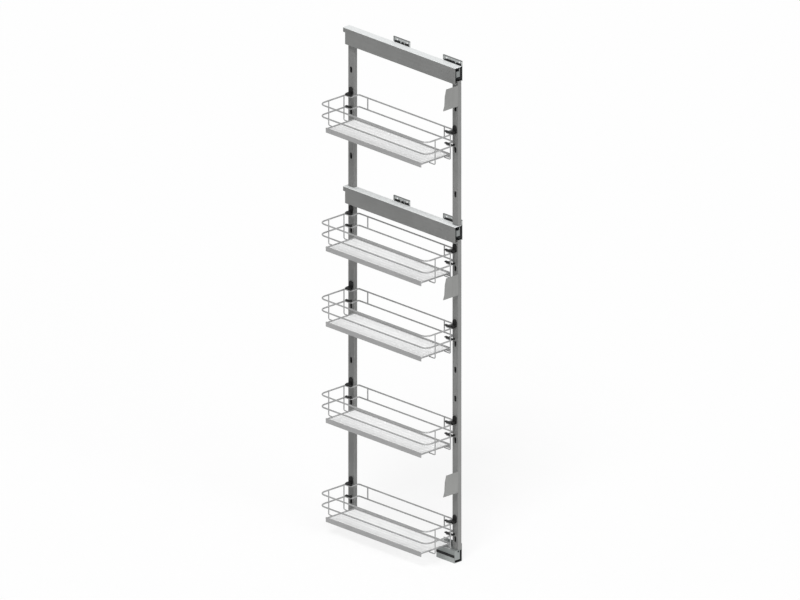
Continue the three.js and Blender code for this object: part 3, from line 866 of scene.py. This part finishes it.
@dataclass
class BasketWirework:
    """The wires of one basket: two rings, end posts, ties and the wires across its tray."""

    low: Vector
    high: Vector
    wire_radius: float = 0.0025
    ring_gap: float = 0.04
    near_radius: float = 0.022
    far_radius: float = 0.005
    notch_length: float = 0.02675
    notch_front: float = 0.1125
    post_places: tuple[float, ...] = (0.0405, 0.1071)
    tie_inset: float = 0.06775
    tray_inset: float = 0.02575
    tray_near: float = 0.0025
    tray_far: float = 0.13
    bar_sheet: float = 0.003
    bar_height: float = 0.016
    bar_drop: float = 0.074
    bar_edge: float = 0.0006
    end_wire_inset: float = 0.0005
    end_wire_drop: float = 0.0785
    cross_wire_insets: tuple[float, ...] = (0.10175, 0.24175, 0.38175)
    shelf_bottom_drop: float = 0.0825
    shelf_fit: float = 0.0003
    weld_bite: float = 0.001
    bead_radius: float = 0.0029
    bead_squeeze: Triple = (1.0, 0.8, 1.0)
    bead_sides: int = 12
    bead_rings: int = 8
    bead_smooth_degrees: float = 60.0
    post_bender: WireBender = field(default_factory=lambda: WireBender(0.0019))
    tie_bender: WireBender = field(default_factory=lambda: WireBender(0.0022))

    def __post_init__(self) -> None:
        """Works out the places that the wires share."""
        self.bender: WireBender = WireBender(self.wire_radius)
        self.top: float = self.high.z - self.wire_radius
        self.near: float = self.low.y + self.wire_radius
        self.far: float = self.high.y - self.wire_radius
        self.rings: Span = (self.top, self.top - self.ring_gap)
        self.end_height: float = self.top - self.end_wire_drop
        cross_height = self.top - self.shelf_bottom_drop - self.shelf_fit - self.wire_radius
        self.crossings: list[Span] = [
            *[(self.along(End.REAR, inset), cross_height) for inset in self.cross_wire_insets],
            *[(self.inner(end), self.end_height) for end in End],
        ]

    def along(self, end: End, inset: float) -> float:
        """A place along the basket, measured inwards from the middle line of the rings' end."""
        inset += self.wire_radius
        return self.low.x + inset if end is End.REAR else self.high.x - inset

    def inner(self, end: End) -> float:
        """Where the wire across one end of the tray lies, which the posts' feet reach."""
        return self.along(end, self.tray_inset + self.end_wire_inset)

    def ring(self, height: float) -> Piece:
        """Draws one closed ring, notched round the uprights.

        Args:
            height: The height of its middle line.

        Returns:
            The ring.
        """
        middle = (self.low.x + self.high.x) / 2
        notch = self.near + self.notch_front
        front, inner = self.along(End.FRONT, 0), self.along(End.FRONT, self.notch_length)
        half = [
            (front, self.near, self.near_radius), (front, notch, self.far_radius),
            (inner, notch, self.far_radius), (inner, self.far, self.far_radius),
        ]
        mirrored = [(2 * middle - x, y, radius) for x, y, radius in reversed(half)]
        start = Corner(middle, self.near, height)
        turns = [Corner(x, y, height, radius) for x, y, radius in half + mirrored]
        return self.bender.draw("ring", [start, *turns, start], closed=True)

    def post(self, end: End, across: float) -> Piece:
        """Draws an end post, whose foot turns in under the tray.

        Args:
            end: The end that it stands at.
            across: How far it lies from the rings' open side.

        Returns:
            The post.
        """
        foot = self.end_height - 2 * self.wire_radius + self.weld_bite
        x, y = self.along(end, 0), self.near + across
        top, turn = Corner(x, y, self.top), Corner(x, y, foot, self.far_radius)
        return self.post_bender.draw("post", [top, turn, Corner(self.inner(end), y, foot)])

    def wires(self, name: str) -> Piece:
        """Draws and joins all the wires of the basket, with their weld beads.

        Args:
            name: The piece's name.

        Returns:
            The piece.
        """
        pieces = [self.ring(height) for height in self.rings]
        for end in End:
            tie = self.along(end, self.tie_inset)
            pieces.append(self.tie_bender.straight(*[(tie, self.far, height) for height in self.rings]))
            pieces += [self.post(end, across) for across in self.post_places]
        near = self.near + self.tray_near + self.bar_sheet / 2
        far = self.near + self.tray_far - self.bar_sheet / 2
        for x, height in self.crossings:
            pieces.append(self.bender.straight((x, near, height), (x, far, height)))
        return Bench.join(pieces + self.beads(), name)

    def beads(self) -> list[Piece]:
        """Adds the weld beads where wires cross or meet the tray bars.

        Returns:
            The beads.
        """
        spots = []
        for end in End:
            places = [(self.along(end, 0), self.near + across) for across in self.post_places]
            places.append((self.along(end, self.tie_inset), self.far))
            spots += [(x, y, height) for x, y in places for height in self.rings]
        near = self.near + self.tray_near + self.bar_sheet
        far = self.near + self.tray_far - self.bar_sheet
        spots += [(x, face, height) for x, height in self.crossings for face in (near, far)]
        bead = Bench.add(
            "bead", bpy.ops.mesh.primitive_uv_sphere_add, segments=self.bead_sides,
            ring_count=self.bead_rings, radius=self.bead_radius, location=spots[0],
            scale=self.bead_squeeze,
        )
        Bench.smooth(bead, self.bead_smooth_degrees)
        return Bench.repeat(bead, spots)

    def tray_bars(self, name: str) -> Piece:
        """Makes the two flat bars along the tray.

        Args:
            name: The piece's name.

        Returns:
            The piece.
        """
        rear, front = [self.along(end, self.tray_inset) for end in End]
        top = self.top - self.bar_drop
        starts = (self.near + self.tray_near, self.near + self.tray_far - self.bar_sheet)
        bar = Bench.block(
            "bar", (rear, starts[0], top - self.bar_height), (front, starts[0] + self.bar_sheet, top)
        )
        bars = Bench.join(Bench.repeat(bar, [(rear, start, top) for start in starts]), name)
        Bench.round_edges(bars, self.bar_edge)
        return bars


# --- sub-assemblies


@dataclass
class Baskets:
    """The five baskets with their shelf boards and hooks."""

    fitter: Fitter
    count: int = 5
    hook_edge: float = 0.0006
    board_ribs: int = 7
    board_edge: float = 0.0003

    def build(self) -> None:
        """Models one basket's wires and bars, and copies them for each basket."""
        first_low, first_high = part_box("basket_1_frame")
        pattern = BasketWirework(first_low, first_high)
        wires, bars = pattern.wires("wire_pattern"), pattern.tray_bars("bar_pattern")
        board_low, board_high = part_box("basket_1_shelf")
        pitch = (board_high.y - board_low.y) / self.board_ribs
        board = replace(WHITE_BOARD, rib_pitch=pitch, rib_start=board_low.y + pitch / 2)
        for number in range(1, self.count + 1):
            basket = f"basket_{number}"
            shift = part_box(f"{basket}_frame")[0] - first_low
            wirework = Bench.copy(wires, f"{basket}_wirework", shift)
            self.fitter.stand_for(wirework, f"{basket}_frame", BASKET_WIRE)
            self.fitter.hang(Bench.copy(bars, f"{basket}_tray_bars", shift), basket, TRAY_GREY)
            self.fitter.rounded(f"{basket}_shelf", "board", board, self.board_edge)
            for end in End:
                for level in Level:
                    hook = f"{basket}_{end}_{level}_hook"
                    self.fitter.rounded(hook, "moulded", HOOK_BLACK, self.hook_edge)
        for model in (wires, bars):
            bpy.data.objects.remove(model)


@dataclass
class SteelFrame:
    """The beams, uprights, door plates and foot of the pull-out frame."""

    fitter: Fitter
    flange_sheet: float = 0.0015
    fold: float = 0.0006
    plate_edge: float = 0.0003
    door_plates: int = 3
    rivet_spots: tuple[Span, ...] = ((0.064, 0.024), (0.036, 0.024), (0.026, 0.014))
    rivet_radius: float = 0.0032
    rivet_height: float = 0.001
    spacer_inset: float = 0.0003
    spacer_height: float = 0.006
    foot_screw_insets: tuple[float, ...] = (0.046, 0.032)
    foot_screw_across: float = 0.0146
    flange_screw_drop: float = 0.0045
    flange_screw_across: float = 0.014
    screw_radius: float = 0.003
    screw_height: float = 0.0014

    def build(self) -> None:
        """Makes the frame's parts."""
        for level in Level:
            beam = f"{level}_beam"
            flange_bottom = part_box(beam)[1].z - self.flange_sheet
            # the coat paints a highlight on the top flange, from the flange's bottom up
            coat = replace(HIGHLIT_BEAM_COAT, name=f"{beam}_coat", flange_bottom=flange_bottom)
            self.fitter.rounded(beam, "folded", coat, self.fold)
            self._rivets(beam)
            self._spacer(level)
            for end in End:
                self.fitter.rounded(f"{level}_{end}_upright", "tube", POWDER_GREY, self.fold)
        for number in range(1, self.door_plates + 1):
            self.fitter.rounded(f"door_plate_{number}", "cut", DOOR_PLATE_GREY, self.plate_edge)
        # the foot plate's lighter zinc is painted light against the shade of the baskets above
        self.fitter.rounded("foot_plate", "folded", LIT_FOOT_ZINC, self.plate_edge)
        self._foot_screws()
        self.fitter.rounded("rear_upright_end_cap", "moulded", HOOK_BLACK, self.fold)

    def _rivets(self, beam: str) -> None:
        """Sets the rivet heads into the front of a beam's face.

        Args:
            beam: The beam's node.
        """
        low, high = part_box(beam)
        face = low.y - self.rivet_height / 2
        spots = [(high.x - inset, face, high.z - drop) for inset, drop in self.rivet_spots]
        heads = Bench.buttons(f"{beam}_rivets", spots, self.rivet_radius, self.rivet_height, Axis.Y)
        self.fitter.hang(heads, "frame", POWDER_GREY)

    def _spacer(self, level: Level) -> None:
        """Makes the folded spacer that stands in a beam's lower flange, over the front upright.

        Args:
            level: Which of the beams it is.
        """
        low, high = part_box(f"{level}_front_upright")
        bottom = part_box(f"{level}_beam")[0].z + self.flange_sheet
        top = bottom + self.spacer_height
        spacer = Bench.block(
            f"{level}_beam_spacer", (low.x, low.y, bottom), (high.x - self.spacer_inset, high.y, top)
        )
        depth = self.spacer_height - self.flange_sheet
        with Bench.editing(spacer) as mesh:
            Bench.pick(spacer, mesh, Axis.Z.unit)
            bpy.ops.mesh.inset(thickness=self.flange_sheet, depth=0)
            bpy.ops.mesh.extrude_region_move(TRANSFORM_OT_translate={"value": (0, 0, -depth)})
        Bench.round_edges(spacer, self.plate_edge)
        self.fitter.hang(spacer, "frame", POWDER_GREY)

    def _foot_screws(self) -> None:
        """Sets the screw heads on the foot plate and the black one in its front flange."""
        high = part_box("foot_plate")[1]
        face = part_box("upper_beam")[0].y
        raised, size = self.screw_height / 2, (self.screw_radius, self.screw_height)
        across = face + self.foot_screw_across
        spots = [(high.x - inset, across, high.z + raised) for inset in self.foot_screw_insets]
        self.fitter.hang(Bench.buttons("foot_plate_screws", spots, *size, Axis.Z), "frame", BRIGHT_ZINC)
        spot = (high.x + raised, face + self.flange_screw_across, high.z - self.flange_screw_drop)
        self.fitter.hang(Bench.buttons("foot_flange_screw", [spot], *size, Axis.X), "frame", SLIDE_BLACK)


@dataclass
class Slides:
    """The telescopic slides and their wall brackets."""

    fitter: Fitter
    edge: float = 0.00035
    stop_edge: float = 0.000175
    sheet: float = 0.0015
    rim: float = 0.0026
    # where the black pieces of each bracket stand; they are partly painted shade of the gap under the
    # bracket
    cam_spans: Mapping[str, Sequence[Span]] = field(default_factory=lambda: {
        "front": ((0.009, 0.051), (0.059, 0.083)),
        "middle": ((0.007, 0.0275), (0.036, 0.0445), (0.0515, 0.0712)),
    })
    cam_gap: float = 0.0003
    cam_bottom: float = -0.0014
    cam_top: float = 0.0057
    cam_round: float = 0.0008
    end_gap: float = 0.0002
    bumper_length: float = 0.002
    bumper_plate: float = 0.0032
    bumper_nose: float = 0.011
    bumper_arm: float = 0.0136
    bumper_reach: float = 0.0037
    stop_length: float = 0.0055
    stop_start: float = 0.0024
    stop_end: float = 0.0171
    stop_rise: float = 0.0113
    stop_drop: float = 0.0081
    tab_width: float = 0.0028
    tab_sheet: float = 0.0008
    tab_rise: float = 0.0092
    members: Mapping[str, Finish] = field(default_factory=lambda: {
        "wall_member": SLIDE_BLACK, "middle_member": BRIGHT_ZINC, "frame_member": SLIDE_BLACK,
        "outer_ball_cage": BRIGHT_ZINC, "inner_ball_cage": BRIGHT_ZINC,
    })

    def build(self) -> None:
        """Makes the slides' parts."""
        for level in Level:
            for member, finish in self.members.items():
                self.fitter.rounded(f"{level}_slide_{member}", "rolled", finish, self.edge)
            for place, spans in self.cam_spans.items():
                self._bracket(level, place, spans)
            # the end piece's black arms paint the shade of the slide's inside over the middle member's lips
            self._bumper(level)
            # the front end piece paints the light on the slide's web inside
            self._stop(level)

    def _bracket(self, level: Level, place: str, spans: Sequence[Span]) -> None:
        """Makes a wall bracket and the black pieces that hold the slide in it; these also stand in the
        shadow gap under the bracket, as painted shade.

        Args:
            level: Which of the slides it holds.
            place: Where along the slide it stands.
            spans: Where each cam starts and ends along the bracket.
        """
        node = f"{level}_{place}_wall_bracket"
        low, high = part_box(node)
        zinc = replace(BRACKET_ZINC, name=f"{node}_zinc", rim_bottom=high.z - self.rim)
        self.fitter.rounded(node, "folded", zinc, self.edge)
        near, far = low.y + self.cam_gap, high.y - self.sheet
        beam_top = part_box(f"{level}_beam")[1].z
        bottom, top = beam_top + self.cam_bottom, beam_top + self.cam_top
        # the black pieces hold the slide and also paint the shadow gap between bracket and beam
        shadow_cams = []
        for start, end in spans:
            shadow_cam = Bench.block("shadow_cam", (low.x + start, near, bottom), (low.x + end, far, top))
            Bench.round_edges(shadow_cam, self.cam_round, Bench.FINE_STEPS)
            shadow_cams.append(shadow_cam)
        self.fitter.hang(Bench.join(shadow_cams, f"{node}_cams"), "cabinet_side", HOOK_BLACK)

    def _bumper(self, level: Level) -> None:
        """Makes the black end piece of a middle member, whose arms over its edges paint shade on the zinc
        lips.

        Args:
            level: Which of the slides it is on.
        """
        low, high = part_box(f"{level}_slide_middle_member")
        middle = (low.z + high.z) / 2
        plate = high.y - self.bumper_plate
        bumper = Bench.block(
            f"{level}_slide_bumper",
            (high.x + self.end_gap, plate, low.z), (high.x + self.bumper_length, high.y, high.z),
        )
        nose, shade_arm = self.bumper_nose, self.bumper_arm
        Bench.slice(bumper, Axis.Z, [middle - shade_arm, middle - nose, middle + nose, middle + shade_arm])
        near = -Axis.Y.unit
        # these black arms cover the zinc lips: painted shade of the slide's dark inside
        Bench.pull(bumper, near, plate - low.y, lambda at: abs(at.z - middle) > shade_arm)
        Bench.pull(bumper, near, self.bumper_reach, lambda at: abs(at.z - middle) < nose)
        Bench.round_edges(bumper, self.edge, Bench.FINE_STEPS)
        self.fitter.hang(bumper, f"{level}_middle_member", HOOK_BLACK)

    def _stop(self, level: Level) -> None:
        """Makes the dull zinc piece that closes the front of a frame member, a painted light that stands
        for the lit web inside the slide.

        Args:
            level: Which of the slides it is on.
        """
        low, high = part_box(f"{level}_slide_frame_member")
        middle = (low.z + high.z) / 2
        web = low.y + self.sheet
        back, face = high.x - self.stop_length, high.x + self.end_gap
        half, far = (back + face) / 2, web + self.stop_end
        tab = far - self.tab_width
        lit_stop = Bench.block(
            f"{level}_slide_stop", (back, web + self.stop_start, middle - self.stop_drop),
            (face + self.tab_sheet, far, middle + self.stop_rise),
        )
        Bench.slice(lit_stop, Axis.X, [half, face])
        Bench.slice(lit_stop, Axis.Y, [tab])
        Bench.pull(lit_stop, -Axis.Y.unit, self.stop_start, lambda at: at.x < half)
        Bench.pull(lit_stop, Axis.Z.unit, self.tab_rise, lambda at: at.x > face and at.y > tab)
        Bench.round_edges(lit_stop, self.stop_edge)
        # its zinc is painted light, where the slide's web would be lit
        self.fitter.hang(lit_stop, "frame", DULL_ZINC)


@dataclass
class RollerGuide:
    """The guide channel on the wall, its liner, and the roller on its pin."""

    fitter: Fitter
    edge: float = 0.0004

    def build(self) -> None:
        """Makes the guide's parts."""
        for node, suffix, finish in (
            ("guide_channel", "folded", GUIDE_ZINC), ("guide_liner", "moulded", HOOK_BLACK),
            ("guide_roller", "turned", ROLLER_GREY), ("guide_roller_pin", "turned", BRIGHT_ZINC),
        ):
            self.fitter.rounded(node, suffix, finish, self.edge)


# --- stage


@dataclass(frozen=True)
class Lamp:
    """A wide, soft lamp: where its light comes from, its strength and the angle that it fills."""

    name: str
    light_from: Triple
    strength: float
    spread: float


@dataclass
class Stage:
    """The pale floor, the soft light and the camera at the photograph's angle."""

    azimuth: float = math.radians(46.1)
    elevation: float = math.radians(20.9)
    width: float = 2.52
    target: Vector = field(default_factory=lambda: Vector((-0.2075, -0.033, -0.8577)))
    distance: float = 6.0
    floor_size: float = 40.0
    floor_gap: float = 0.0005
    floor_white: Colour = (0.97, 0.97, 0.97)
    floor_glow: float = 0.8
    floor_light: float = 1.015
    lamps: tuple[Lamp, ...] = (
        Lamp("front_lamp", (0.94, -0.1, 0.33), 1.3, math.radians(30)),
        Lamp("top_lamp", (0.3, -0.5, 0.812), 1.5, math.radians(20)),
    )
    sky_strength: float = 0.4

    def build(self) -> None:
        """Sets the camera, the lamps, the sky and the floor."""
        self._camera()
        for lamp in self.lamps:
            data = bpy.data.lights.new(lamp.name, "SUN")
            data.energy, data.angle = lamp.strength, lamp.spread
            self._aimed(lamp.name, data, Vector(lamp.light_from))
        self._sky()
        self._floor()
        bpy.context.scene.view_settings.view_transform = "Standard"
        LOG.info("stage is set")

    @staticmethod
    def _aimed(name: str, data: bpy.types.ID, source: Vector) -> Piece:
        """Adds a lamp or a camera that looks from one side.

        Args:
            name: Its name.
            data: The lamp's or the camera's data.
            source: The side that it looks from.

        Returns:
            The lamp or camera.
        """
        piece = bpy.data.objects.new(name, data)
        piece.rotation_euler = source.to_track_quat("Z", "Y").to_euler()
        bpy.context.scene.collection.objects.link(piece)
        return piece

    def _camera(self) -> None:
        """Adds the camera."""
        source = Vector((
            math.sin(self.azimuth) * math.cos(self.elevation),
            -math.cos(self.azimuth) * math.cos(self.elevation),
            math.sin(self.elevation),
        ))
        data = bpy.data.cameras.new("camera")
        data.type, data.ortho_scale = "ORTHO", self.width
        camera = self._aimed("camera", data, source)
        camera.location = self.target + source * self.distance
        bpy.context.scene.camera = camera

    @staticmethod
    def _seen(book: NodeBook) -> Link:
        """Tells the rays that show the background from those that light the object.

        Args:
            book: The node book of the world or the floor.

        Returns:
            1 for the rays that show it, and 0 for the others.
        """
        path = book.node("ShaderNodeLightPath", {}, {})
        rays = ("Is Camera Ray", "Is Glossy Ray", "Is Transmission Ray")
        camera, glossy, sent = [Link(book, path.outputs[ray]) for ray in rays]
        return camera + glossy + sent

    def _sky(self) -> None:
        """Lights the scene evenly from all round and keeps the background white."""
        world = bpy.data.worlds.new("pale_room")
        world.use_nodes = True
        bpy.context.scene.world = world
        book = NodeBook(world.node_tree)
        strength = self.sky_strength + self._seen(book) * (1 - self.sky_strength)
        inputs = {"Color": (1.0, 1.0, 1.0, 1.0), "Strength": strength}
        sky = book.value("ShaderNodeBackground", {}, inputs, "Background")
        book.node("ShaderNodeOutputWorld", {}, {"Surface": sky})

    def _floor(self) -> None:
        """Lays the floor just below the object."""
        place = (self.target.x, self.target.y, CAD_BOX[0][2] - self.floor_gap)
        floor = Bench.add("floor", bpy.ops.mesh.primitive_plane_add, size=self.floor_size, location=place)
        paint = bpy.data.materials.new("floor")
        paint.use_nodes = True
        book = NodeBook(paint.node_tree)
        matt = book.value("ShaderNodeBsdfDiffuse", {}, {"Color": (*self.floor_white, 1.0)}, "BSDF")
        glow = book.value("ShaderNodeEmission", {}, {"Strength": self.floor_light}, "Emission")
        factor = self._seen(book) * self.floor_glow
        mixed = book.value("ShaderNodeMixShader", {}, {0: factor, 1: matt, 2: glow}, 0)
        book.node("ShaderNodeOutputMaterial", {}, {"Surface": mixed})
        floor.data.materials.append(paint)


def main() -> None:
    """Builds the stage and every piece."""
    logging.basicConfig(level=logging.INFO, format="%(name)s: %(message)s")
    fitter = Fitter(frame["record"]["behaviour"]["bodies"])
    Stage().build()
    for assembly in (SteelFrame, Slides, Baskets, RollerGuide):
        assembly(fitter).build()
    LOG.info("%d pieces hung", fitter.count)


if __name__ == "__main__":
    main()
